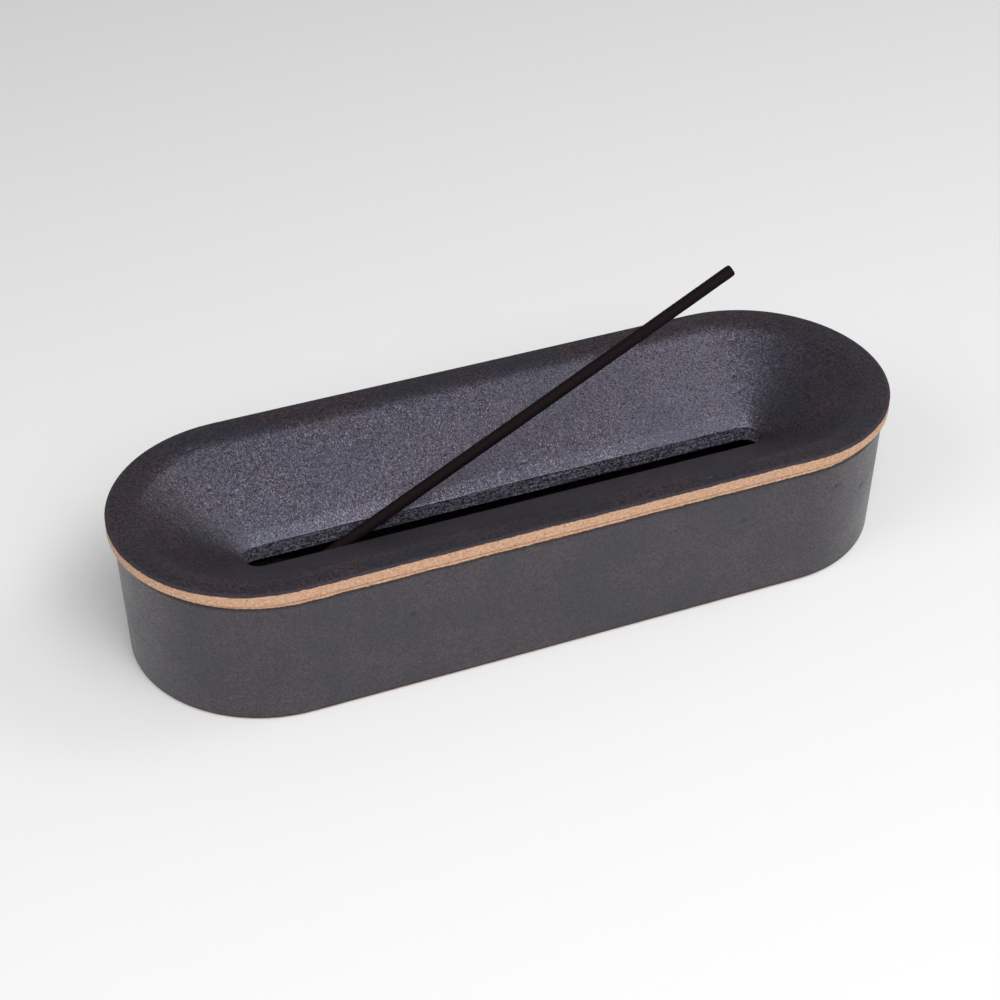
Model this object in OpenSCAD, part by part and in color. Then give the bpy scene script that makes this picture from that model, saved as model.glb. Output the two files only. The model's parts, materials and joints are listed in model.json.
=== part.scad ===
// Stadium-shaped stoneware incense burner: a hollow base, a funnel lid with a long slot,
// a low stick holder inside, and one thick incense stick that leans along the slot.
// Millimetres. +Z is up, X runs along the slot, and the origin is the bottom centre of the base.

/* [Overall] */
// Height from the foot to the lid's flat rim
body_h = 38.7; // [37:0.1:44]
// Radius of the lid's round ends, which is half of its width
lid_r = 35; // [33:0.1:38]
// Length of the lid's straight sides, between its round ends
lid_straight = 130.8; // [120:0.2:170]

/* [Base] */
// How far the lid stands out past the base along the straight sides
side_overhang = 0.4; // [0.2:0.1:1]
// How far the lid stands out past the base at the two ends
end_overhang = 1.5; // [1:0.1:2.5]
// How far the base's outer wall leans in from its rim to its foot
base_draft = 1.0; // [0.4:0.1:2]
// Thickness of the base's wall
base_wall = 4.0; // [3.4:0.1:4.6]
// Height of the base's floor above the surface that it stands on
floor_z = 5.5; // [5:0.1:6]
// Width of the ring that the base stands on
foot_w = 7.0; // [5:0.5:9]
// Depth of the hollow inside that ring
foot_hollow = 1.2; // [0.8:0.1:1.6]

/* [Lid] */
// Thickness of the lid's flat rim
flange_t = 3.4; // [3:0.1:4.2]
// Width of the flat rim, from the lid's edge to where the slope begins
rim_w = 6.0; // [5:0.1:8]
// Steepness of the funnel's slopes, in degrees
slope = 33; // [28:0.5:35]
// Width of the slot along the bottom of the funnel
slot_w = 7.8; // [7:0.1:9]
// Height of the upright wall round the slot
slot_wall = 4.6; // [3.5:0.1:5]
// Depth of the step under the rim that centres the lid in the base
step_h = 1.8; // [1:0.1:2.4]
// Gap between that step and the base's wall at the ends
step_gap = 0.6; // [0.4:0.1:1]

/* [Incense stick] */
// Diameter of the stick
stick_d = 3.0; // [2.4:0.1:3.4]
// Length of the stick
stick_len = 141; // [100:1:150]
// Angle that the stick makes with the ground, in degrees
lean = 27.8; // [27:0.1:30]
// Distance of the stick's lower end from the middle of the burner
stick_foot_x = 67.2; // [66:0.1:68]
// Height of the stick's lower end
stick_foot_z = 8.0; // [7.6:0.1:8.4]

/* [Stick holder] */
// Diameter of the holder
holder_d = 22; // [21:0.5:24]
// Height of the holder's top above the ground
holder_top_z = 13; // [12.6:0.1:13.4]
// Distance of the holder's axis from the middle of the burner
holder_x = 62; // [61:0.1:63]
// Depth of the shallow seat in the floor that keeps the holder in place
seat_depth = 1.0; // [0.6:0.1:1.4]
// Space between the holder and the side of its seat
seat_gap = 0.3; // [0.2:0.05:0.5]
// Space all round the stick in its hole
stick_gap = 0.05; // [0.02:0.01:0.1]

/* [Hidden] */
$fn = 96;
ARC_STEPS = 5;
GLAZE = "#26252b";
STICK_BLACK = "#17161a";

// Small roundings
rim_blend_r = 9;
lid_top_edge_r = 0.6;
lid_low_edge_r = 0.35;
slot_top_edge_r = 0.5;
slot_low_edge_r = 0.4;
base_rim_edge_r = 0.5;
base_inner_edge_r = 0.8;
base_foot_edge_r = 1.2;
floor_fillet_r = 4;
holder_edge = 1.0;
stick_edge = 0.35;

// Lid
lid_half = lid_straight / 2;
slot_r = slot_w / 2;
lid_seat_z = body_h - flange_t;
slope_top_r = lid_r - rim_w;
funnel_depth = (slope_top_r - slot_r) * tan(slope);
slot_top_z = body_h - funnel_depth;
slot_low_z = slot_top_z - slot_wall;
step_z = lid_seat_z - step_h;

// Base
base_half = lid_half - (end_overhang - side_overhang);
base_top_r = lid_r - side_overhang;
base_foot_r = base_top_r - base_draft;
base_inner_top_r = base_top_r - base_wall;
base_inner_low_r = base_foot_r - base_wall;
step_r = base_inner_top_r - (lid_half - base_half) - step_gap;

// Stick
stick_r = stick_d / 2;
bore_r = stick_r + stick_gap;

// Points of an arc round (cx, cy), from one angle to another
function arc(cx, cy, r, from, to) =
    [for (i = [0:ARC_STEPS]) let (a = from + (to - from) * i / ARC_STEPS) [cx + r * cos(a), cy + r * sin(a)]];

// Height of the funnel's upper or lower surface at radius r, given its height at the slot
function slope_z(r, z_at_slot) = z_at_slot + (r - slot_r) * tan(slope);

// Sweeps a half section, drawn to the right of the Y axis, round a stadium whose straight sides are 2 * half long
module stadium(half) {
    for (side = [-1, 1])
        translate([side * half, 0, 0])
            rotate([0, 0, -90 * side])
                rotate_extrude(angle = 180)
                    children();
    rotate([90, 0, 90])
        linear_extrude(2 * half, center = true) {
            children();
            mirror([1, 0])
                children();
        }
}

module base_section() {
    polygon(concat(
        [[0, foot_hollow], [base_foot_r - foot_w, foot_hollow], [base_foot_r - foot_w + foot_hollow, 0]],
        arc(base_foot_r - base_foot_edge_r, base_foot_edge_r, base_foot_edge_r, -90, 0),
        arc(base_top_r - base_rim_edge_r, lid_seat_z - base_rim_edge_r, base_rim_edge_r, 0, 90),
        arc(base_inner_top_r + base_inner_edge_r, lid_seat_z - base_inner_edge_r, base_inner_edge_r, 90, 180),
        arc(base_inner_low_r - floor_fillet_r, floor_z + floor_fillet_r, floor_fillet_r, 0, -90),
        [[0, floor_z]]
    ));
}

module lid_section() {
    blend_len = rim_blend_r * tan(slope / 2);
    slot_edge_z = slope_z(slot_r + slot_top_edge_r, slot_top_z) - slot_top_edge_r / cos(slope);
    low_edge_z = slope_z(slot_r + slot_low_edge_r, slot_low_z) + slot_low_edge_r / cos(slope);
    under_slope_r = min(slot_r + (step_z - slot_low_z) / tan(slope), step_r - 0.3);
    polygon(concat(
        arc(slot_r + slot_low_edge_r, low_edge_z, slot_low_edge_r, slope - 90, -180),
        arc(slot_r + slot_top_edge_r, slot_edge_z, slot_top_edge_r, 180, 90 + slope),
        arc(slope_top_r + blend_len, body_h - rim_blend_r, rim_blend_r, 90 + slope, 90),
        arc(lid_r - lid_top_edge_r, body_h - lid_top_edge_r, lid_top_edge_r, 90, 0),
        arc(lid_r - lid_low_edge_r, lid_seat_z + lid_low_edge_r, lid_low_edge_r, 0, -90),
        [[step_r, lid_seat_z], [step_r, step_z], [under_slope_r, step_z]]
    ));
}

// Turns and moves what is drawn along +Z onto the stick's line, from the stick's lower end up
module along_stick() {
    translate([-stick_foot_x, 0, stick_foot_z])
        rotate([0, 90 - lean, 0])
            children();
}

module base() {
    color(GLAZE)
        difference() {
            stadium(base_half)
                base_section();
            translate([-holder_x, 0, floor_z - seat_depth])
                cylinder(r = holder_d / 2 + seat_gap, h = 2 * seat_depth);
        }
}

module lid() {
    color(GLAZE)
        stadium(lid_half)
            lid_section();
}

module stick_holder() {
    r = holder_d / 2;
    low_z = floor_z - seat_depth;
    color(GLAZE)
        difference() {
            translate([-holder_x, 0, 0])
                rotate_extrude()
                    polygon([[0, low_z], [r, low_z], [r, holder_top_z - holder_edge],
                        [r - holder_edge, holder_top_z], [0, holder_top_z]]);
            along_stick()
                cylinder(r = bore_r, h = holder_d);
        }
}

module incense_stick() {
    color(STICK_BLACK)
        along_stick()
            rotate_extrude()
                polygon([[0, 0], [stick_r, 0], [stick_r, stick_len - stick_edge],
                    [stick_r - stick_edge, stick_len], [0, stick_len]]);
}

base();
lid();
stick_holder();
incense_stick();
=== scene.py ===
"""Looks for a stadium-shaped stoneware incense burner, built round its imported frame.

Everything is in metres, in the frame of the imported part: +Z is up, X runs along the slot and the origin
is the bottom centre of the base. Sizes of the makers' details are held in millimetres and turned by MM.
"""
import json
import logging
import math
import random
from dataclasses import dataclass
from enum import Enum
from typing import Callable, Iterable, Optional, Sequence

import bmesh
import bpy
from mathutils import Matrix, Vector, noise


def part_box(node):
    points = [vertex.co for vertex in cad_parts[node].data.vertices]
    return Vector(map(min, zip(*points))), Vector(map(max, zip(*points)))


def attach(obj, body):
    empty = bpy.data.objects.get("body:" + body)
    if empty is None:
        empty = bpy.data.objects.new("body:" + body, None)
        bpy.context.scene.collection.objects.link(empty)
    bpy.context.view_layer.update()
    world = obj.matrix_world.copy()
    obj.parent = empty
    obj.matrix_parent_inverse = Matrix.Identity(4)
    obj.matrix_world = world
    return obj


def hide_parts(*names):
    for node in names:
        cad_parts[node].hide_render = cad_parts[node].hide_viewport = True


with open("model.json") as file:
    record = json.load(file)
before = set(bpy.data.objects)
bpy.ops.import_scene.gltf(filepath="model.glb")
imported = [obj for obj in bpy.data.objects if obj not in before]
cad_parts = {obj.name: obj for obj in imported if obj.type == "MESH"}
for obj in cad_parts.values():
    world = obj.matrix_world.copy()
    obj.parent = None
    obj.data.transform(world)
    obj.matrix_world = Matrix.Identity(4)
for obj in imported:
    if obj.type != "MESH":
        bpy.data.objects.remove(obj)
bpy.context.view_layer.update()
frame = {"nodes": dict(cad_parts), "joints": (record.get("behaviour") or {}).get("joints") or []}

MM = 0.001
MERGE_DISTANCE = 0.002 * MM
SUBDIVISIONS = 1
PIT_WIDTHS_MM = (0.35, 0.75)
PIT_DEPTHS_MM = (0.15, 0.35)
BARE = "bare"
CUT = "cut"
LOG = logging.getLogger("incense_burner")


class Slot(str, Enum):
    """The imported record's material slots."""

    GLAZE = "black_glaze"
    CLAY = "bare_clay"
    PASTE = "incense_paste"


class Body(str, Enum):
    """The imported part's bodies."""

    BASE = "base"
    LID = "lid"
    STICK = "stick"


# ---------------------------------------------------------------- shader helpers


def linear(code: str) -> tuple[float, float, float, float]:
    """Turns an sRGB colour into the linear values that shaders take.

    Args:
        code: The colour as "#rrggbb".

    Returns:
        Linear red, green and blue, and an alpha of 1.
    """
    parts = (int(code[i:i + 2], 16) / 255 for i in (1, 3, 5))
    red, green, blue = (c / 12.92 if c <= 0.04045 else ((c + 0.055) / 1.055) ** 2.4 for c in parts)
    return red, green, blue, 1.0


def add_node(
    tree: bpy.types.NodeTree,
    kind: str,
    settings: Optional[dict] = None,
    links: Optional[dict] = None,
) -> bpy.types.Node:
    """Adds a node with its settings and its incoming links.

    Args:
        tree: The tree that gets the node.
        kind: The node's type without "ShaderNode", such as "TexNoise".
        settings: Values for the node's properties, or for its inputs, by name or number.
        links: Output sockets that feed the node's inputs, by name or number.

    Returns:
        The new node.
    """
    node = tree.nodes.new("ShaderNode" + kind)
    for key, value in (settings or {}).items():
        if isinstance(key, int) or key in node.inputs:
            node.inputs[key].default_value = value
        else:
            setattr(node, key, value)
    for key, socket in (links or {}).items():
        tree.links.new(socket, node.inputs[key])
    return node


def new_material(name: str) -> tuple[bpy.types.Material, bpy.types.NodeTree]:
    """Makes an empty node material.

    Args:
        name: The finish's name.

    Returns:
        The material and its node tree.
    """
    material = bpy.data.materials.new(name)
    material.use_nodes = True
    material.node_tree.nodes.clear()
    return material, material.node_tree


def per_mm(size: float) -> float:
    """Scale of a procedural texture whose cells are this many millimetres across."""
    return 1 / (size * MM)


# ---------------------------------------------------------------- finishes


@dataclass(frozen=True)
class GlazedStoneware:
    """Satin black tenmoku-type glaze over buff stoneware, dipped and then wiped off the bearing edges.

    To the eye: a brown-black glass skin with a fine crystalline grain that turns cool grey where it mirrors
    a lamp, a few broad cloudy patches, and a sandy, speckled tan body wherever the glaze was wiped away.
    The mesh attribute BARE says where: 0 is glaze, 1 is clay and 0.5 is the edge between them. CUT is 1 on
    walls that were cut with a wire, where the glaze lies over torn clay and scatters more; there a lighter
    bluish grey is painted on as sheen.
    """

    name: str = "black_glazed_stoneware"
    glaze_warm: str = "#392b2d"
    glaze_cool: str = "#27252a"
    glaze_speck: str = "#131012"
    glaze_thin: str = "#2f201a"
    # Painted sheen: a lighter bluish grey put on the black glaze of the cut wall round the slot, to look lit.
    cut_wall_painted_sheen: str = "#5c5a66"
    clay_light: str = "#cfa889"
    clay_dark: str = "#b38866"
    clay_fleck: str = "#8a5a3c"
    glaze_sheen: str = "#e2e2ff"
    # Iron crystals in the glaze's skin mirror more than its glass alone does.
    glaze_mirror: float = 0.7
    glaze_bloom: float = 0.012
    bloom_roughness: float = 0.4
    glaze_roughness: float = 0.33
    cloud_polish: float = 0.05
    cloud_dulling: float = 0.07
    thin_roughness: float = 0.85
    clay_roughness: float = 0.9
    glaze_ior: float = 1.62
    # Real crystals and freckles are about 0.15 mm across. Both are drawn coarser, to show at arm's length.
    crystal_mm: float = 0.26
    freckle_mm: float = 0.37
    crystal_tilt: float = 0.3
    cut_tilt: float = 0.75
    cut_roughness: float = 0.6
    cut_lines_mm: float = 0.55
    cut_depth_mm: float = 0.16
    swell_mm: float = 1.8
    swell_depth_mm: float = 0.022
    cloud_mm: float = 22.0
    sand_mm: float = 0.45
    sand_depth_mm: float = 0.05
    clay_patch_mm: float = 0.7
    fleck_gap_mm: float = 1.6
    ragged_mm: float = 0.9
    ragged_share: float = 0.055

    def build(self) -> bpy.types.Material:
        """Builds the finish.

        Returns:
            The material.
        """
        material, tree = new_material(self.name)
        place = add_node(tree, "TexCoord").outputs["Object"]
        bare = self._bare_mask(tree, place)
        thin = self._thin_mask(tree)
        cut = add_node(tree, "Attribute", {"attribute_name": CUT}).outputs["Fac"]
        cloud = add_node(
            tree, "TexNoise", {"Scale": per_mm(self.cloud_mm), "Detail": 3.0}, {"Vector": place}
        ).outputs["Fac"]
        glaze = self._glaze_colour(tree, place, cloud, thin, cut)
        clay = self._clay_colour(tree, place)
        colour = add_node(tree, "Mix", {"data_type": "RGBA"}, {0: bare, 6: glaze, 7: clay})
        bump = add_node(
            tree, "Bump", {"Strength": 1.0, "Distance": 1.0},
            {"Height": self._height(tree, place, bare, cut), "Normal": self._facets(tree, place, cut)},
        )
        shader = add_node(
            tree, "BsdfPrincipled",
            {"IOR": self.glaze_ior, "Specular IOR Level": self.glaze_mirror,
             "Specular Tint": linear(self.glaze_sheen),
             "Sheen Weight": self.glaze_bloom, "Sheen Roughness": self.bloom_roughness},
            {"Base Color": colour.outputs[2], "Roughness": self._roughness(tree, cloud, bare, thin, cut),
             "Normal": bump.outputs[0]},
        )
        add_node(tree, "OutputMaterial", {}, {"Surface": shader.outputs[0]})
        return material

    def _mix(
        self,
        tree: bpy.types.NodeTree,
        factor: bpy.types.NodeSocket,
        low: tuple,
        high: tuple,
        span: tuple[float, float],
    ) -> bpy.types.NodeSocket:
        """Fades between two colours as a factor crosses a span.

        Args:
            tree: The material's tree.
            factor: The driving value.
            low: Linear colour below the span.
            high: Linear colour above the span.
            span: Where the fade starts and ends.

        Returns:
            The colour socket.
        """
        ramp = add_node(tree, "MapRange", {"From Min": span[0], "From Max": span[1]}, {"Value": factor})
        mixed = add_node(tree, "Mix", {"data_type": "RGBA", 6: low, 7: high}, {0: ramp.outputs[0]})
        return mixed.outputs[2]

    def _bare_mask(self, tree: bpy.types.NodeTree, place: bpy.types.NodeSocket) -> bpy.types.NodeSocket:
        """Sharpens the BARE attribute into a slightly ragged edge.

        Args:
            tree: The material's tree.
            place: Object coordinates.

        Returns:
            0 on glaze and 1 on clay.
        """
        bare = add_node(tree, "Attribute", {"attribute_name": BARE})
        ragged = add_node(
            tree, "TexNoise", {"Scale": per_mm(self.ragged_mm), "Detail": 3.0}, {"Vector": place}
        )
        shift = add_node(
            tree, "MapRange", {"To Min": -self.ragged_share, "To Max": self.ragged_share},
            {"Value": ragged.outputs["Fac"]},
        )
        moved = add_node(tree, "Math", {"operation": "ADD"}, {0: bare.outputs["Fac"], 1: shift.outputs[0]})
        edge = add_node(
            tree, "MapRange", {"From Min": 0.48, "From Max": 0.52}, {"Value": moved.outputs[0]}
        )
        return edge.outputs[0]

    def _thin_mask(self, tree: bpy.types.NodeTree) -> bpy.types.NodeSocket:
        """Says where the glaze runs thin.

        Args:
            tree: The material's tree.

        Returns:
            1 close to bare clay and 0 further off.
        """
        bare = add_node(tree, "Attribute", {"attribute_name": BARE})
        thin = add_node(tree, "MapRange", {"From Min": 0.2, "From Max": 0.42}, {"Value": bare.outputs["Fac"]})
        return thin.outputs[0]

    def _roughness(
        self,
        tree: bpy.types.NodeTree,
        cloud: bpy.types.NodeSocket,
        bare: bpy.types.NodeSocket,
        thin: bpy.types.NodeSocket,
        cut: bpy.types.NodeSocket,
    ) -> bpy.types.NodeSocket:
        """Sets the gloss: cloudy on the glaze, duller where it is thin or torn, and dull on bare clay.

        Args:
            tree: The material's tree.
            cloud: Broad noise.
            bare: 1 on bare clay.
            thin: 1 where the glaze runs thin.
            cut: 1 where the wall was cut with a wire.

        Returns:
            The roughness.
        """
        gloss = add_node(
            tree, "MapRange",
            {"From Min": 0.3, "From Max": 0.7, "To Min": self.glaze_roughness - self.cloud_polish,
             "To Max": self.glaze_roughness + self.cloud_dulling},
            {"Value": cloud},
        )
        cut_wall_layer = add_node(tree, "Mix", {3: self.cut_roughness}, {0: cut, 2: gloss.outputs[0]})
        worn = add_node(tree, "Mix", {3: self.thin_roughness}, {0: thin, 2: cut_wall_layer.outputs[0]})
        return add_node(tree, "Mix", {3: self.clay_roughness}, {0: bare, 2: worn.outputs[0]}).outputs[0]

    def _height(
        self,
        tree: bpy.types.NodeTree,
        place: bpy.types.NodeSocket,
        bare: bpy.types.NodeSocket,
        cut: bpy.types.NodeSocket,
    ) -> bpy.types.NodeSocket:
        """Raises the fine relief: slow swells in the glaze, wire lines on the cut wall and sand in the clay.

        Args:
            tree: The material's tree.
            place: Object coordinates.
            bare: 1 on bare clay.
            cut: 1 where the wall was cut with a wire.

        Returns:
            The height, in metres.
        """
        swell = add_node(tree, "TexNoise", {"Scale": per_mm(self.swell_mm), "Detail": 2.0}, {"Vector": place})
        sand = add_node(tree, "TexNoise", {"Scale": per_mm(self.sand_mm), "Detail": 4.0}, {"Vector": place})
        deep_glaze = self._deepen(tree, swell.outputs["Fac"], self.swell_depth_mm)
        deep_sand = self._deepen(tree, sand.outputs["Fac"], self.sand_depth_mm)
        lines = self._cut_lines(tree, place)
        glaze = add_node(tree, "Mix", {}, {0: cut, 2: deep_glaze, 3: lines})
        return add_node(tree, "Mix", {}, {0: bare, 2: glaze.outputs[0], 3: deep_sand}).outputs[0]

    def _deepen(
        self, tree: bpy.types.NodeTree, pattern: bpy.types.NodeSocket, depth_mm: float
    ) -> bpy.types.NodeSocket:
        """Gives a pattern its real depth, in metres."""
        deep = add_node(tree, "Math", {"operation": "MULTIPLY", 1: depth_mm * MM}, {0: pattern})
        return deep.outputs[0]

    def _clay_colour(self, tree: bpy.types.NodeTree, place: bpy.types.NodeSocket) -> bpy.types.NodeSocket:
        """Colours the bare clay: sandy variation with small dark flecks of iron.

        Args:
            tree: The material's tree.
            place: Object coordinates.

        Returns:
            The colour socket.
        """
        sandy = add_node(
            tree, "TexNoise", {"Scale": per_mm(self.clay_patch_mm), "Detail": 5.0}, {"Vector": place}
        )
        body = self._mix(
            tree, sandy.outputs["Fac"], linear(self.clay_dark), linear(self.clay_light), (0.35, 0.65)
        )
        flecks = add_node(
            tree, "TexVoronoi", {"Scale": per_mm(self.fleck_gap_mm), "Randomness": 1.0}, {"Vector": place}
        )
        spot = add_node(
            tree, "MapRange", {"From Min": 0.16, "From Max": 0.1, "To Max": 0.7},
            {"Value": flecks.outputs["Distance"]},
        )
        colour = add_node(
            tree, "Mix", {"data_type": "RGBA", 7: linear(self.clay_fleck)}, {0: spot.outputs[0], 6: body}
        )
        return colour.outputs[2]

    def _glaze_colour(
        self,
        tree: bpy.types.NodeTree,
        place: bpy.types.NodeSocket,
        cloud: bpy.types.NodeSocket,
        thin: bpy.types.NodeSocket,
        cut: bpy.types.NodeSocket,
    ) -> bpy.types.NodeSocket:
        """Colours the glaze: cloudy black, finely freckled, browner where it runs thin, and a lighter bluish
        grey painted on the cut wall as sheen.

        Args:
            tree: The material's tree.
            place: Object coordinates.
            cloud: Broad noise.
            thin: 1 where the glaze runs thin towards bare clay.
            cut: 1 where the wall was cut with a wire.

        Returns:
            The colour socket.
        """
        body = self._mix(tree, cloud, linear(self.glaze_warm), linear(self.glaze_cool), (0.4, 0.6))
        worn = add_node(
            tree, "Mix", {"data_type": "RGBA", 7: linear(self.glaze_thin)}, {0: thin, 6: body}
        )
        # Painted sheen: the cut wall is coloured a lighter bluish grey.
        cut_wall_layer = add_node(
            tree, "Mix", {"data_type": "RGBA", 7: linear(self.cut_wall_painted_sheen)}, {0: cut, 6: worn.outputs[2]}
        )
        freckles = add_node(tree, "TexVoronoi", {"Scale": per_mm(self.freckle_mm)}, {"Vector": place})
        pick = add_node(tree, "SeparateColor", {}, {"Color": freckles.outputs["Color"]})
        freckle = add_node(
            tree, "MapRange", {"From Min": 0.25, "From Max": 0.75}, {"Value": pick.outputs["Red"]}
        )
        mixed = add_node(
            tree, "Mix", {"data_type": "RGBA", 7: linear(self.glaze_speck)},
            {0: freckle.outputs[0], 6: cut_wall_layer.outputs[2]},
        )
        return mixed.outputs[2]

    def _cut_lines(self, tree: bpy.types.NodeTree, place: bpy.types.NodeSocket) -> bpy.types.NodeSocket:
        """Depth of the level lines that the cutting wire left along the slot.

        Args:
            tree: The material's tree.
            place: Object coordinates.

        Returns:
            The depth, in metres.
        """
        drawn_out = add_node(tree, "Mapping", {"Scale": (0.04, 1.0, 1.0)}, {"Vector": place})
        lines = add_node(
            tree, "TexNoise", {"Scale": per_mm(self.cut_lines_mm), "Detail": 2.0},
            {"Vector": drawn_out.outputs[0]},
        )
        return self._deepen(tree, lines.outputs["Fac"], self.cut_depth_mm)

    def _facets(
        self, tree: bpy.types.NodeTree, place: bpy.types.NodeSocket, cut: bpy.types.NodeSocket
    ) -> bpy.types.NodeSocket:
        """Turns the surface a little at each crystal in the glaze, so that single crystals catch the light.

        Args:
            tree: The material's tree.
            place: Object coordinates.
            cut: 1 where the wall was cut with a wire.

        Returns:
            The turned normal.
        """
        crystals = add_node(tree, "TexVoronoi", {"Scale": per_mm(self.crystal_mm)}, {"Vector": place})
        centred = add_node(
            tree, "VectorMath", {"operation": "SUBTRACT", 1: (0.5, 0.5, 0.5)}, {0: crystals.outputs["Color"]}
        )
        amount = add_node(
            tree, "MapRange", {"To Min": self.crystal_tilt, "To Max": self.cut_tilt}, {"Value": cut}
        )
        tilt = add_node(
            tree, "VectorMath", {"operation": "SCALE"}, {0: centred.outputs[0], "Scale": amount.outputs[0]}
        )
        normal = add_node(tree, "NewGeometry").outputs["Normal"]
        turned = add_node(tree, "VectorMath", {"operation": "ADD"}, {0: normal, 1: tilt.outputs[0]})
        return add_node(tree, "VectorMath", {"operation": "NORMALIZE"}, {0: turned.outputs[0]}).outputs[0]


@dataclass(frozen=True)
class IncensePaste:
    """Extruded incense paste of charcoal and resin powder, dried and unlit.

    To the eye: a dull brown-black with a powdery grain and faint lines along the stick from the die.
    """

    name: str = "extruded_incense_paste"
    dark: str = "#0b0405"
    light: str = "#190c10"
    roughness: float = 0.78
    mirror: float = 0.16
    die_lines_mm: float = 0.4
    powder_mm: float = 0.35
    powder_share: float = 0.4
    powder_depth_mm: float = 0.03

    def build(self, lean: float) -> bpy.types.Material:
        """Builds the finish.

        Args:
            lean: The stick's angle above level, in radians, which turns the lines along it.

        Returns:
            The material.
        """
        material, tree = new_material(self.name)
        place = add_node(tree, "TexCoord").outputs["Object"]
        along = add_node(
            tree, "Mapping",
            {"vector_type": "POINT", "Rotation": (0.0, lean, 0.0), "Scale": (0.06, 1.0, 1.0)},
            {"Vector": place},
        )
        lines = add_node(
            tree, "TexNoise", {"Scale": per_mm(self.die_lines_mm), "Detail": 2.0},
            {"Vector": along.outputs[0]},
        )
        powder = add_node(
            tree, "TexNoise", {"Scale": per_mm(self.powder_mm), "Detail": 4.0}, {"Vector": place}
        )
        both = add_node(
            tree, "Mix", {0: self.powder_share}, {2: lines.outputs["Fac"], 3: powder.outputs["Fac"]}
        )
        shade = add_node(
            tree, "MapRange", {"From Min": 0.35, "From Max": 0.68}, {"Value": both.outputs[0]}
        )
        colour = add_node(
            tree, "Mix", {"data_type": "RGBA", 6: linear(self.dark), 7: linear(self.light)},
            {0: shade.outputs[0]},
        )
        bump = add_node(
            tree, "Bump", {"Strength": 1.0, "Distance": self.powder_depth_mm * MM},
            {"Height": both.outputs[0]},
        )
        shader = add_node(
            tree, "BsdfPrincipled",
            {"IOR": 1.45, "Roughness": self.roughness, "Specular IOR Level": self.mirror},
            {"Base Color": colour.outputs[2], "Normal": bump.outputs[0]},
        )
        add_node(tree, "OutputMaterial", {}, {"Surface": shader.outputs[0]})
        return material


@dataclass(frozen=True)
class SweepPaper:
    """Matte white studio paper under and behind the burner: an even pale ground with a soft shadow."""

    name: str = "white_sweep_paper"
    colour: str = "#eeeeee"
    roughness: float = 0.85

    def build(self) -> bpy.types.Material:
        """Builds the finish.

        Returns:
            The material.
        """
        material, tree = new_material(self.name)
        shader = add_node(
            tree, "BsdfPrincipled",
            {"Base Color": linear(self.colour), "Roughness": self.roughness, "Specular IOR Level": 0.2},
        )
        add_node(tree, "OutputMaterial", {}, {"Surface": shader.outputs[0]})
        return material


# ---------------------------------------------------------------- mesh helpers


@dataclass(frozen=True)
class Corner:
    """One corner of a half section, in millimetres from the slot's line and from the ground."""

    r: float
    z: float
    rounding: float = 0.0
    gap: float = 2.0

    def place(self) -> Vector:
        """The corner as a vector in the section's plane."""
        return Vector((self.r, self.z))


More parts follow.
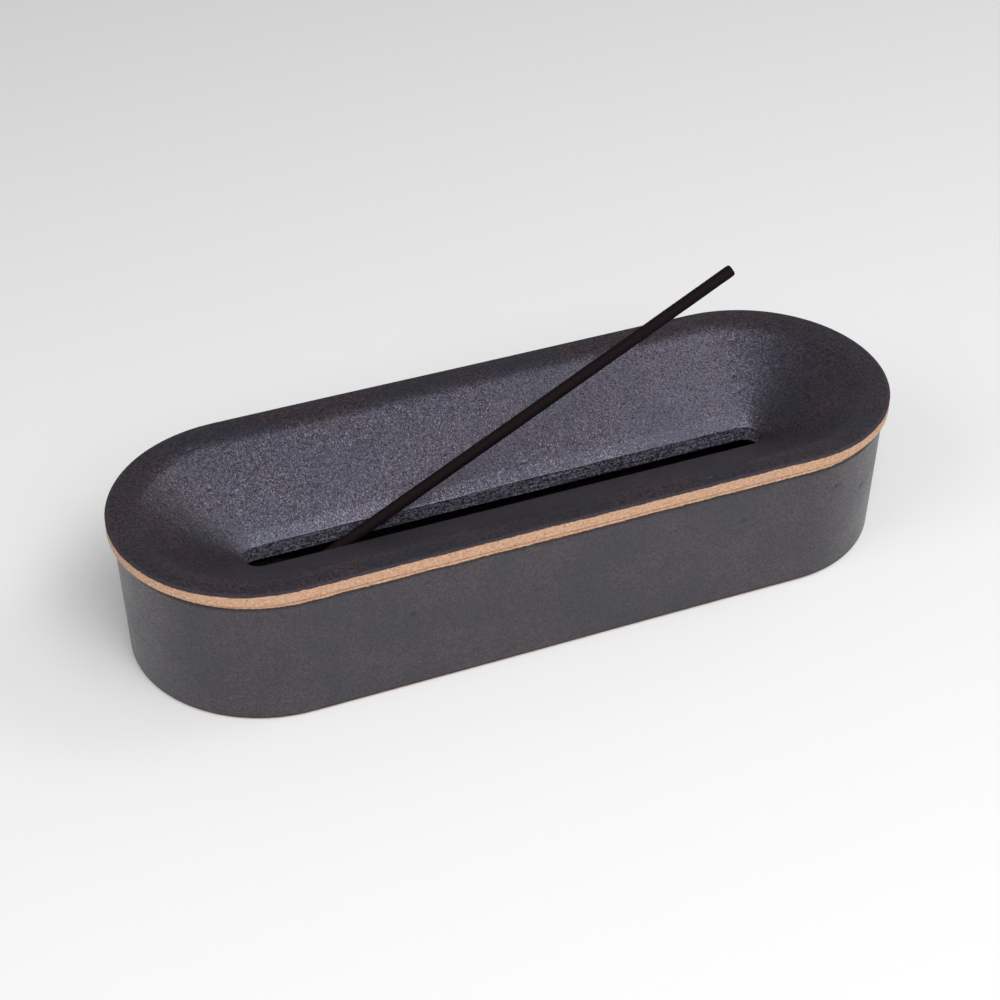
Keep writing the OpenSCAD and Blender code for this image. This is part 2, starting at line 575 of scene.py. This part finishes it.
class StadiumSweep:
    """A half section swept round a stadium: two straight sides and two half-round ends."""

    turn_steps = 48
    straight_steps = 54
    bevel_steps = 5

    def __init__(self, half: float) -> None:
        """Starts an empty mesh.

        Args:
            half: Half the length of the straight sides, in metres.
        """
        self.half = half
        self.bm = bmesh.new()

    def section(self, corners: Sequence[Corner], closed: bool) -> list[bmesh.types.BMEdge]:
        """Draws the half section at the start of the right-hand end, with its corners rounded.

        Args:
            corners: The section's corners in order.
            closed: True if the last corner joins the first.

        Returns:
            The section's edges.
        """
        bm = self.bm
        verts = [bm.verts.new((self.half, -c.r * MM, c.z * MM)) for c in corners]
        pairs = list(zip(verts, verts[1:]))
        if closed:
            pairs.append((verts[-1], verts[0]))
        gap = bm.edges.layers.float.new("gap")
        for pair, corner in zip(pairs, corners):
            bm.edges.new(pair)[gap] = corner.gap * MM
        for i, (vert, corner) in enumerate(zip(verts, corners)):
            if corner.rounding:
                inward = corners[i - 1].place() - corner.place()
                outward = corners[(i + 1) % len(corners)].place() - corner.place()
                reach = corner.rounding / math.tan(inward.angle(outward) / 2)
                bmesh.ops.bevel(
                    bm, geom=[vert], offset=reach * MM, offset_type="OFFSET", segments=self.bevel_steps,
                    profile=0.5, affect="VERTICES", material=-1,
                )
        for edge in list(bm.edges):
            cuts = math.ceil(edge.calc_length() / edge[gap] - 0.01) - 1
            if cuts > 0:
                bmesh.ops.subdivide_edges(bm, edges=[edge], cuts=cuts)
        bm.edges.layers.float.remove(gap)
        return list(bm.edges)

    def _turn(self, geometry: list, centre_x: float) -> list:
        """Spins the open end of the sweep through half a turn.

        Args:
            geometry: The last section's vertices and edges.
            centre_x: Where the axis stands on X, in metres.

        Returns:
            The new last section.
        """
        result = bmesh.ops.spin(
            self.bm, geom=geometry, cent=(centre_x, 0, 0), axis=(0, 0, 1), angle=math.pi,
            steps=self.turn_steps, use_merge=False, use_duplicate=False,
        )
        return result["geom_last"]

    def _run(self, geometry: list, length: float) -> list:
        """Extrudes the open end of the sweep along X.

        Args:
            geometry: The last section's vertices and edges.
            length: How far it runs, in metres.

        Returns:
            The new last section.
        """
        for _ in range(self.straight_steps):
            edges = [g for g in geometry if isinstance(g, bmesh.types.BMEdge)]
            geometry = bmesh.ops.extrude_edge_only(self.bm, edges=edges)["geom"]
            geometry = [g for g in geometry if not isinstance(g, bmesh.types.BMFace)]
            moved = [g for g in geometry if isinstance(g, bmesh.types.BMVert)]
            bmesh.ops.translate(self.bm, verts=moved, vec=(length / self.straight_steps, 0, 0))
        return geometry

    def sweep(self, corners: Sequence[Corner], closed: bool) -> bmesh.types.BMesh:
        """Sweeps the section all the way round and closes it on itself.

        Args:
            corners: The half section's corners.
            closed: True if the section is a ring.

        Returns:
            The swept mesh.
        """
        edges = self.section(corners, closed)
        geometry = list(dict.fromkeys(v for e in edges for v in e.verts)) + edges
        geometry = self._turn(geometry, self.half)
        geometry = self._run(geometry, -2 * self.half)
        geometry = self._turn(geometry, -self.half)
        self._run(geometry, 2 * self.half)
        bmesh.ops.remove_doubles(self.bm, verts=self.bm.verts, dist=MERGE_DISTANCE)
        loose = [e for e in self.bm.edges if not e.link_faces]
        bmesh.ops.delete(self.bm, geom=loose, context="EDGES")
        bmesh.ops.recalc_face_normals(self.bm, faces=self.bm.faces)
        return self.bm

    def coordinates(self, place: Vector) -> tuple[float, float, Vector]:
        """Says where a point lies in the sweep.

        Args:
            place: The point, in metres.

        Returns:
            Its distance from the slot's line and its distance along the slot's line, both in
            millimetres, and the level direction straight out from that line.
        """
        over = max(abs(place.x) - self.half, 0.0)
        side = math.copysign(1.0, place.x)
        out = Vector((side * over, place.y, 0.0))
        radius = out.length
        turn = math.atan2(over, abs(place.y)) if radius else 0.0
        along = max(-self.half, min(self.half, place.x)) + side * turn * radius
        direction = out.normalized() if radius else Vector((0.0, 1.0, 0.0))
        return radius / MM, along / MM, direction


def finish_piece(
    bm: bmesh.types.BMesh,
    name: str,
    body: Body,
    nodes: Iterable[str],
    material: bpy.types.Material,
) -> bpy.types.Object:
    """Turns a mesh into a named piece that rides on its body and stands for its CAD nodes.

    Args:
        bm: The finished mesh, which is freed.
        name: The piece's name.
        body: The body that it moves with.
        nodes: The CAD nodes that it replaces.
        material: Its finish.

    Returns:
        The piece's object.
    """
    mesh = bpy.data.meshes.new(name)
    bm.to_mesh(mesh)
    bm.free()
    mesh.materials.append(material)
    mesh.polygons.foreach_set("use_smooth", [True] * len(mesh.polygons))
    piece = bpy.data.objects.new(name, mesh)
    bpy.context.scene.collection.objects.link(piece)
    smooth = piece.modifiers.new("smooth", "SUBSURF")
    smooth.levels = smooth.render_levels = SUBDIVISIONS
    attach(piece, body.value)
    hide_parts(*nodes)
    LOG.info("%s: %d faces, rides on %s", name, len(mesh.polygons), body.value)
    return piece


def wander(place: Vector, size_mm: float, seed: float) -> float:
    """Smooth random value from -1 to 1 that changes over a given distance.

    Args:
        place: The point, in metres.
        size_mm: The distance over which the value changes.
        seed: Picks one of many such fields.

    Returns:
        The value.
    """
    return noise.noise(place / (size_mm * MM) + Vector((seed, -seed, 0.37 * seed)))


def pit(bm: bmesh.types.BMesh, face: bmesh.types.BMFace, width_mm: float, depth_mm: float) -> None:
    """Sinks one pinhole of the glaze into the middle of a face.

    Args:
        bm: The mesh.
        face: The face that gets the pit.
        width_mm: The pit's width.
        depth_mm: The pit's depth.
    """
    side = min(e.calc_length() for e in face.edges)
    inset = max((side - width_mm * MM) / 2, side * 0.1)
    normal = face.normal.copy()
    bmesh.ops.inset_individual(bm, faces=[face], thickness=inset, use_even_offset=True)
    bmesh.ops.translate(bm, verts=face.verts, vec=-normal * depth_mm * MM)


def scatter_pits(
    bm: bmesh.types.BMesh,
    chosen: Callable[[bmesh.types.BMFace], bool],
    count: int,
    seed: int,
) -> None:
    """Scatters pinholes over part of a glazed surface.

    Args:
        bm: The mesh.
        chosen: Says whether a face may take a pit.
        count: How many pits.
        seed: Seed of the scatter.
    """
    rng = random.Random(seed)
    bm.verts.index_update()
    faces = sorted((f for f in bm.faces if chosen(f)), key=lambda f: sorted(v.index for v in f.verts))
    for face in rng.sample(faces, min(count, len(faces))):
        pit(bm, face, rng.uniform(*PIT_WIDTHS_MM), rng.uniform(*PIT_DEPTHS_MM))


# ---------------------------------------------------------------- the pieces


@dataclass
class Stoneware:
    """What the burner's two thrown-and-trimmed pieces share."""

    wobble_mm: float = 0.12
    wobble_size_mm: float = 55.0
    glaze_coat_mm: float = 0.09
    coat_edge_mm: float = 0.3
    bare_scale_mm: float = 4.0

    def bare_distance(self, radius: float, height: float) -> float:
        """Distance inside the bare clay, in millimetres, and negative on glaze."""
        raise NotImplementedError

    def dress(self, sweep: StadiumSweep) -> None:
        """Marks the bare clay, sinks it below the glaze and gives the whole piece its hand-made wobble.

        Args:
            sweep: The swept piece.
        """
        bm = sweep.bm
        layer = bm.verts.layers.float.new(BARE)
        bm.normal_update()
        for vert in bm.verts:
            radius, _, _ = sweep.coordinates(vert.co)
            ragged = 0.16 * wander(vert.co, 7.0, 3.3) + 0.1 * wander(vert.co, 2.6, 8.1)
            distance = self.bare_distance(radius, vert.co.z / MM) + ragged
            vert[layer] = max(0.0, min(1.0, 0.5 + distance / self.bare_scale_mm))
            sunk = self.glaze_coat_mm * max(0.0, min(1.0, 0.5 + distance / self.coat_edge_mm))
            vert.co -= vert.normal * sunk * MM
        for vert in bm.verts:
            _, _, out = sweep.coordinates(vert.co)
            vert.co += out * self.wobble_mm * MM * wander(vert.co, self.wobble_size_mm, 1.7)


@dataclass
class Lid(Stoneware):
    """The burner top: a flat rim, a funnel and the upright wall round its slot, in one piece."""

    flange_mm: float = 3.4
    rim_mm: float = 6.0
    slope_deg: float = 33.0
    slot_mm: float = 7.8
    slot_wall_mm: float = 4.6
    step_mm: float = 1.8
    step_inset_mm: float = 6.1
    rim_blend_mm: float = 9.0
    glaze_stops_mm: float = 0.45
    ridge_mm: float = 0.2
    worn_mm: float = 0.24
    worn_width_mm: float = 3.0
    lifted_mm: float = 0.14
    pits: int = 26

    def measure(self) -> None:
        """Reads the lid's outer size from the frame."""
        _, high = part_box("lid")
        self.radius = high[1] / MM
        self.half = high[0] - high[1]
        self.top = high[2] / MM
        self.seat = self.top - self.flange_mm
        self.grade = math.tan(math.radians(self.slope_deg))
        self.slot_r = self.slot_mm / 2
        self.slope_top_r = self.radius - self.rim_mm
        self.crease = self.top - (self.slope_top_r - self.slot_r) * self.grade
        self.slot_low = self.crease - self.slot_wall_mm
        self.step_z = self.seat - self.step_mm

    def corners(self) -> list[Corner]:
        """The lid's half section, from the foot of the slot's wall up, over the rim and back underneath.

        Returns:
            The corners. The funnel's lower edge is a little proud, where the glaze pooled and wore.
        """
        worn_r = self.slot_r + self.worn_width_mm
        step_r = self.radius - self.step_inset_mm
        under = min(self.slot_r + (self.step_z - self.slot_low) / self.grade, step_r - 0.8)
        return [
            Corner(self.slot_r, self.slot_low, 0.4, 0.28),
            Corner(self.slot_r, self.crease, 0.5, 0.6),
            Corner(worn_r, self.crease + (worn_r - self.slot_r) * self.grade + self.worn_mm, 12.0, 1.15),
            Corner(self.slope_top_r, self.top, self.rim_blend_mm, 1.2),
            Corner(self.radius, self.top, 0.6, 0.3),
            Corner(self.radius, self.seat + self.lifted_mm, 0.3, 0.5),
            Corner(self.radius - 2.2, self.seat, 0.0, 1.2),
            Corner(step_r, self.seat, 0.2, 0.9),
            Corner(step_r, self.step_z, 0.3, 1.4),
            Corner(under, self.step_z, 0.3, 2.2),
        ]

    def bare_distance(self, radius: float, height: float) -> float:
        """Distance inside the bare clay: the lid's outer edge and its whole underside."""
        upper = min(self.top, self.crease + (radius - self.slot_r) * self.grade)
        if radius > self.radius - 1.2:
            return self.top - self.glaze_stops_mm - height
        if radius < self.slot_r + 1.0:
            return self.slot_low + 0.1 - height
        middle = upper - self.flange_mm / 2
        return 2.0 if height < middle else -2.0

    def _ridges(self, sweep: StadiumSweep) -> None:
        """Cuts the fine level tool marks into the wall round the slot.

        Args:
            sweep: The swept lid.
        """
        cut = sweep.bm.verts.layers.float.new(CUT)
        for vert in sweep.bm.verts:
            radius, along, out = sweep.coordinates(vert.co)
            height = vert.co.z / MM
            if radius < self.slot_r + 0.3 and self.slot_low < height < self.crease:
                vert[cut] = min(1.0, (self.crease - height) / 0.6)
                mark = noise.noise(Vector((along / 16.0, height / 0.7, 5.0)))
                vert.co += out * self.ridge_mm * MM * mark

    def build(self, glaze: bpy.types.Material) -> bpy.types.Object:
        """Builds the lid.

        Args:
            glaze: The glazed stoneware finish.

        Returns:
            The lid's object.
        """
        self.measure()
        sweep = StadiumSweep(self.half)
        bm = sweep.sweep(self.corners(), closed=True)
        self._ridges(sweep)
        self.dress(sweep)

        def on_funnel(face: bmesh.types.BMFace) -> bool:
            """Says whether a face lies on the glazed top, clear of the slot and of the lid's edge.

            Args:
                face: A face of the lid.

            Returns:
                True if a pit may go there.
            """
            radius, _, _ = sweep.coordinates(face.calc_center_median())
            return self.slot_r + 2 < radius < self.radius - 2 and face.normal.z > 0.5

        scatter_pits(bm, on_funnel, self.pits, seed=11)
        return finish_piece(bm, "burner_lid", Body.LID, ["lid"], glaze)


@dataclass
class Base(Stoneware):
    """The hollow box that stands on the table and catches the ash."""

    draft_mm: float = 1.0
    wall_mm: float = 4.0
    floor_mm: float = 5.5
    foot_mm: float = 7.0
    hollow_mm: float = 1.2
    rim_glaze_stops_mm: float = 0.85
    foot_glaze_stops_mm: float = 0.32
    pits: int = 22

    def measure(self) -> None:
        """Reads the base's outer size from the frame."""
        _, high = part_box("base")
        self.top_r = high[1] / MM
        self.half = high[0] - high[1]
        self.rim = high[2] / MM
        self.foot_r = self.top_r - self.draft_mm

    def _on_side(self, height: float, gap: float) -> Corner:
        """A plain point of the outer side at some height, where the spacing of the section changes."""
        return Corner(self.foot_r + self.draft_mm * height / self.rim, height, 0.0, gap)

    def corners(self) -> list[Corner]:
        """The base's half section, from under its middle, round the outside and into the hollow."""
        inner_top = self.top_r - self.wall_mm
        inner_low = self.foot_r - self.wall_mm
        ring = self.foot_r - self.foot_mm
        return [
            Corner(0.0, self.hollow_mm, 0.0, 3.2),
            Corner(ring, self.hollow_mm, 0.6, 0.8),
            Corner(ring + self.hollow_mm, 0.0, 0.6, 2.0),
            Corner(self.foot_r, 0.0, 1.2, 0.4),
            self._on_side(2.0, 1.15),
            self._on_side(self.rim - 1.6, 0.3),
            Corner(self.top_r, self.rim, 0.5, 0.7),
            Corner(inner_top, self.rim, 0.8, 2.2),
            Corner(inner_low, self.floor_mm, 4.0, 3.0),
            Corner(0.0, self.floor_mm, 0.0, 1.0),
        ]

    def bare_distance(self, radius: float, height: float) -> float:
        """Distance inside the bare clay: the rim that carries the lid, the foot and the underside."""
        rim = min(height - (self.rim - self.rim_glaze_stops_mm), radius - (self.top_r - self.wall_mm + 0.5))
        foot = self.foot_glaze_stops_mm - height if radius > self.foot_r - 1.5 else 2.0
        if height > self.hollow_mm + 1.0:
            return rim
        return max(rim, foot)

    def build(self, glaze: bpy.types.Material) -> bpy.types.Object:
        """Builds the base.

        Args:
            glaze: The glazed stoneware finish.

        Returns:
            The base's object.
        """
        self.measure()
        sweep = StadiumSweep(self.half)
        bm = sweep.sweep(self.corners(), closed=False)
        self.dress(sweep)

        def on_side(face: bmesh.types.BMFace) -> bool:
            """Says whether a face lies on the glazed outer side, clear of the foot and of the rim.

            Args:
                face: A face of the base.

            Returns:
                True if a pit may go there.
            """
            centre = face.calc_center_median()
            radius, _, _ = sweep.coordinates(centre)
            return radius > self.foot_r - 0.5 and 3 < centre.z / MM < self.rim - 2

        scatter_pits(bm, on_side, self.pits, seed=5)
        return finish_piece(bm, "burner_base", Body.BASE, ["base"], glaze)


@dataclass
class IncenseStick:
    """The thick coreless stick, with its cut end and the slight unevenness of dried paste."""

    sides: int = 28
    ring_gap_mm: float = 1.1
    lump_mm: float = 0.035
    bow_mm: float = 0.25
    end_rounding_mm: float = 0.3

    def measure(self) -> None:
        """Reads the stick's line and thickness from the frame."""
        joint = next(j for j in frame["joints"] if j["child"] == Body.STICK.value)
        self.axis = Vector(joint["axis"]).normalized()
        low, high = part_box("incense_stick")
        self.radius = (high[1] - low[1]) / 2
        side = Vector((self.axis.z, 0.0, self.axis.x)) * self.radius
        self.foot = Vector((low[0] + side.x, 0.0, low[2] + side.z))
        self.length = (high[0] - low[0] - 2 * side.x) / self.axis.x
        self.lean = math.asin(self.axis.z)

    def build(self, paste: IncensePaste) -> bpy.types.Object:
        """Builds the stick.

        Args:
            paste: The stick's finish.

        Returns:
            The stick's object.
        """
        self.measure()
        bm = bmesh.new()
        rounding = self.end_rounding_mm * MM
        ring = bmesh.ops.create_circle(bm, cap_ends=True, segments=self.sides, radius=self.radius - rounding)
        bmesh.ops.reverse_faces(bm, faces=bm.faces)
        edges = list(dict.fromkeys(e for v in ring["verts"] for e in v.link_edges))
        steps = math.ceil(self.length / (self.ring_gap_mm * MM))
        straight = (self.length - 2 * rounding) / steps
        rises = [rounding] + [straight] * steps + [rounding]
        grows = [self.radius / (self.radius - rounding)] + [1.0] * steps
        grows.append((self.radius - rounding) / self.radius)
        for rise, grow in zip(rises, grows):
            made = bmesh.ops.extrude_edge_only(bm, edges=edges)["geom"]
            verts = [g for g in made if isinstance(g, bmesh.types.BMVert)]
            edges = [g for g in made if isinstance(g, bmesh.types.BMEdge)]
            bmesh.ops.translate(bm, verts=verts, vec=(0, 0, rise))
            bmesh.ops.scale(bm, verts=verts, vec=(grow, grow, 1.0))
        bmesh.ops.contextual_create(bm, geom=edges)
        for face in [f for f in bm.faces if len(f.verts) > 4]:
            bmesh.ops.inset_individual(bm, faces=[face], thickness=self.radius * 0.35)
        bmesh.ops.recalc_face_normals(bm, faces=bm.faces)
        bm.normal_update()
        for vert in bm.verts:
            share = vert.co.z / self.length
            lump = self.lump_mm * MM * (wander(vert.co, 1.3, 2.0) + 0.6 * wander(vert.co, 5.0, 4.0))
            free = min(1.0, max(0.0, (share - 0.1) * 8))
            vert.co += vert.normal * (lump * free - 0.01 * MM)
            vert.co.x += self.bow_mm * MM * math.sin(math.pi * share) * free
        turn = Matrix.Rotation(math.pi / 2 - self.lean, 4, "Y")
        bmesh.ops.transform(bm, matrix=Matrix.Translation(self.foot) @ turn, verts=bm.verts)
        material = paste.build(self.lean)
        return finish_piece(bm, "stick", Body.STICK, ["incense_stick"], material)


# ---------------------------------------------------------------- the studio


@dataclass(frozen=True)
class Softbox:
    """A white rectangular soft lamp that faces the burner."""

    name: str
    place: tuple[float, float, float]
    size: tuple[float, float]
    watts: float

    def build(self) -> bpy.types.Object:
        """Builds the lamp.

        Returns:
            The lamp's object.
        """
        lamp = bpy.data.lights.new(self.name, "AREA")
        lamp.shape = "RECTANGLE"
        lamp.size, lamp.size_y = self.size
        lamp.energy = self.watts
        holder = bpy.data.objects.new(self.name, lamp)
        holder.location = self.place
        facing = -Vector(self.place)
        holder.rotation_euler = facing.to_track_quat("-Z", "Y").to_euler()
        bpy.context.scene.collection.objects.link(holder)
        return holder


@dataclass
class Studio:
    """The pale sweep, the soft lamps and the camera round the burner."""

    camera_azimuth_deg: float = -22.885
    camera_elevation_deg: float = 36.949
    camera_roll_deg: float = 0.28
    camera_distance: float = 0.5521
    camera_right: float = -0.0029
    camera_up: float = 0.0163
    lens_mm: float = 78.31
    floor_size: float = 2.6
    lamps: tuple[Softbox, ...] = (
        Softbox("key_top", (0.1, -0.6, 1.2), (1.0, 0.8), 3.27),
        Softbox("key_front", (-0.1, -0.9, 0.9), (0.9, 0.7), 8.1),
        Softbox("side_right", (0.75, -0.1, 0.85), (0.4, 0.4), 1.8),
        Softbox("side_low", (0.8, -0.5, 0.7), (0.5, 0.5), 0.71),
        Softbox("back_right", (0.95, 0.35, 0.6), (0.4, 0.4), 0.51),
        Softbox("fill_left", (-0.9, -0.3, 0.8), (0.6, 0.6), 3.21),
        Softbox("near_top", (0.15, -0.5, 0.75), (0.4, 0.3), 1.0),
    )
    world_grey: str = "#808080"
    seen_grey: str = "#d8d8d8"

    def build(self) -> None:
        """Builds the floor, the lamps, the world and the camera."""
        self._floor()
        self._world()
        self._camera()
        for lamp in self.lamps:
            lamp.build()

    def _floor(self) -> None:
        """Lays the sweep paper on the ground."""
        bm = bmesh.new()
        bmesh.ops.create_grid(bm, x_segments=1, y_segments=1, size=self.floor_size / 2)
        mesh = bpy.data.meshes.new("sweep_floor")
        bm.to_mesh(mesh)
        bm.free()
        mesh.materials.append(SweepPaper().build())
        floor = bpy.data.objects.new("sweep_floor", mesh)
        bpy.context.scene.collection.objects.link(floor)

    def _world(self) -> None:
        """Fills the room with an even grey light; the camera sees a paler wall behind the floor."""
        world = bpy.data.worlds.new("studio_room")
        world.use_nodes = True
        tree = world.node_tree
        seen = add_node(tree, "LightPath").outputs["Is Camera Ray"]
        colour = add_node(
            tree, "Mix",
            {"data_type": "RGBA", 6: linear(self.world_grey), 7: linear(self.seen_grey)},
            {0: seen},
        )
        tree.links.new(colour.outputs[2], tree.nodes["Background"].inputs["Color"])
        bpy.context.scene.world = world
        bpy.context.scene.view_settings.view_transform = "Standard"

    def _camera(self) -> None:
        """Sets the camera up at its viewing angle."""
        azimuth = math.radians(self.camera_azimuth_deg)
        elevation = math.radians(self.camera_elevation_deg)
        roll = math.radians(self.camera_roll_deg)
        back = Vector((
            math.sin(azimuth) * math.cos(elevation),
            -math.cos(azimuth) * math.cos(elevation),
            math.sin(elevation),
        ))
        right = Vector((math.cos(azimuth), math.sin(azimuth), 0.0))
        up = back.cross(right)
        right, up = (
            right * math.cos(roll) + up * math.sin(roll),
            up * math.cos(roll) - right * math.sin(roll),
        )
        place = back * self.camera_distance + right * self.camera_right + up * self.camera_up
        data = bpy.data.cameras.new("camera")
        data.lens = self.lens_mm
        data.sensor_width = 36.0
        data.clip_start = 0.01
        camera = bpy.data.objects.new("camera", data)
        turned = Matrix((right, up, back)).transposed().to_4x4()
        camera.matrix_world = Matrix.Translation(place) @ turned
        bpy.context.scene.collection.objects.link(camera)
        bpy.context.scene.camera = camera


def main() -> None:
    """Builds the studio and every piece of the burner."""
    logging.basicConfig(level=logging.INFO, format="%(name)s: %(message)s")
    Studio().build()
    side_glaze = GlazedStoneware(
        name="black_glazed_stoneware_side", glaze_warm="#382d2f", glaze_speck="#0d0b0d",
        glaze_sheen="#eeecf8", glaze_mirror=0.62, crystal_tilt=0.26, cloud_mm=14.0,
    ).build()
    Base().build(side_glaze)
    Lid().build(GlazedStoneware().build())
    IncenseStick().build(IncensePaste())
    holder = frame["nodes"]["stick_holder"]
    for holder_slot in holder.material_slots:
        holder_slot.material = side_glaze


if __name__ == "__main__":
    main()
